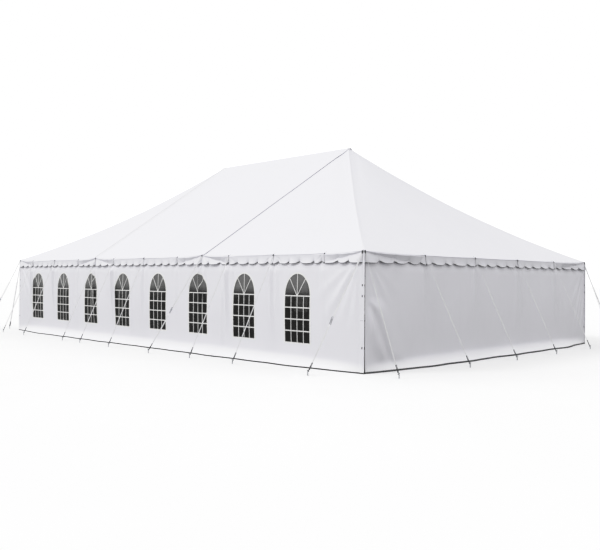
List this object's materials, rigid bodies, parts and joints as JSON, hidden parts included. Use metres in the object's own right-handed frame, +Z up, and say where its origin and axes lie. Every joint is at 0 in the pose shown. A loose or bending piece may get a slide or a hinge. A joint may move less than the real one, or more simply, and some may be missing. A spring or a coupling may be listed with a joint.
{
  "type": "marquee tent",
  "caption": "White pole tent with a hipped fabric roof over centre poles, scalloped valance, sidewalls with arched clear windows, side poles, guy straps and stakes.",
  "frame": {"origin": "middle of the footprint, on the ground", "axes": "+X along the long side towards the end wall that shows, +Y towards the back long wall, +Z up"},
  "size_m": [15.298, 10.886, 5.145],
  "materials": {
    "roof_vinyl": "block-out coated polyester, satin white",
    "wall_vinyl": "lighter coated polyester, satin white",
    "clear_vinyl": "clear flexible sheet, slightly smoky",
    "galvanised_steel": "galvanised tube and rod",
    "webbing": "woven polyester webbing and rope",
    "dark_steel": "dark coated ratchets, clamps and stakes"
  },
  "bodies": {
    "root": {"roof_right_end": "roof_vinyl", "roof_middle": "roof_vinyl", "roof_left_end": "roof_vinyl", "valance_front": "roof_vinyl", "valance_back": "roof_vinyl", "valance_right": "roof_vinyl", "valance_left": "roof_vinyl", "wall_front_right": "wall_vinyl", "wall_front_middle": "wall_vinyl", "wall_front_left": "wall_vinyl", "wall_back_right": "wall_vinyl", "wall_back_middle": "wall_vinyl", "wall_back_left": "wall_vinyl", "wall_right_end": "wall_vinyl", "wall_left_end": "wall_vinyl", "window_front_right": "clear_vinyl", "window_front_middle": "clear_vinyl", "window_front_left": "clear_vinyl", "window_back_right": "clear_vinyl", "window_back_middle": "clear_vinyl", "window_back_left": "clear_vinyl", "centre_pole_right": "galvanised_steel", "centre_pole_left": "galvanised_steel", "corner_pole_front_right": "galvanised_steel", "corner_pole_front_left": "galvanised_steel", "corner_pole_back_right": "galvanised_steel", "corner_pole_back_left": "galvanised_steel", "seam_pole_front_right": "galvanised_steel", "seam_pole_front_left": "galvanised_steel", "seam_pole_back_right": "galvanised_steel", "seam_pole_back_left": "galvanised_steel", "side_poles_front_right": "galvanised_steel", "side_poles_front_middle": "galvanised_steel", "side_poles_front_left": "galvanised_steel", "side_poles_back_right": "galvanised_steel", "side_poles_back_middle": "galvanised_steel", "side_poles_back_left": "galvanised_steel", "end_pole_right_1": "galvanised_steel", "end_pole_right_2": "galvanised_steel", "end_pole_right_3": "galvanised_steel", "end_pole_right_4": "galvanised_steel", "end_pole_left_1": "galvanised_steel", "end_pole_left_2": "galvanised_steel", "end_pole_left_3": "galvanised_steel", "end_pole_left_4": "galvanised_steel"}
  },
  "joints": []
}
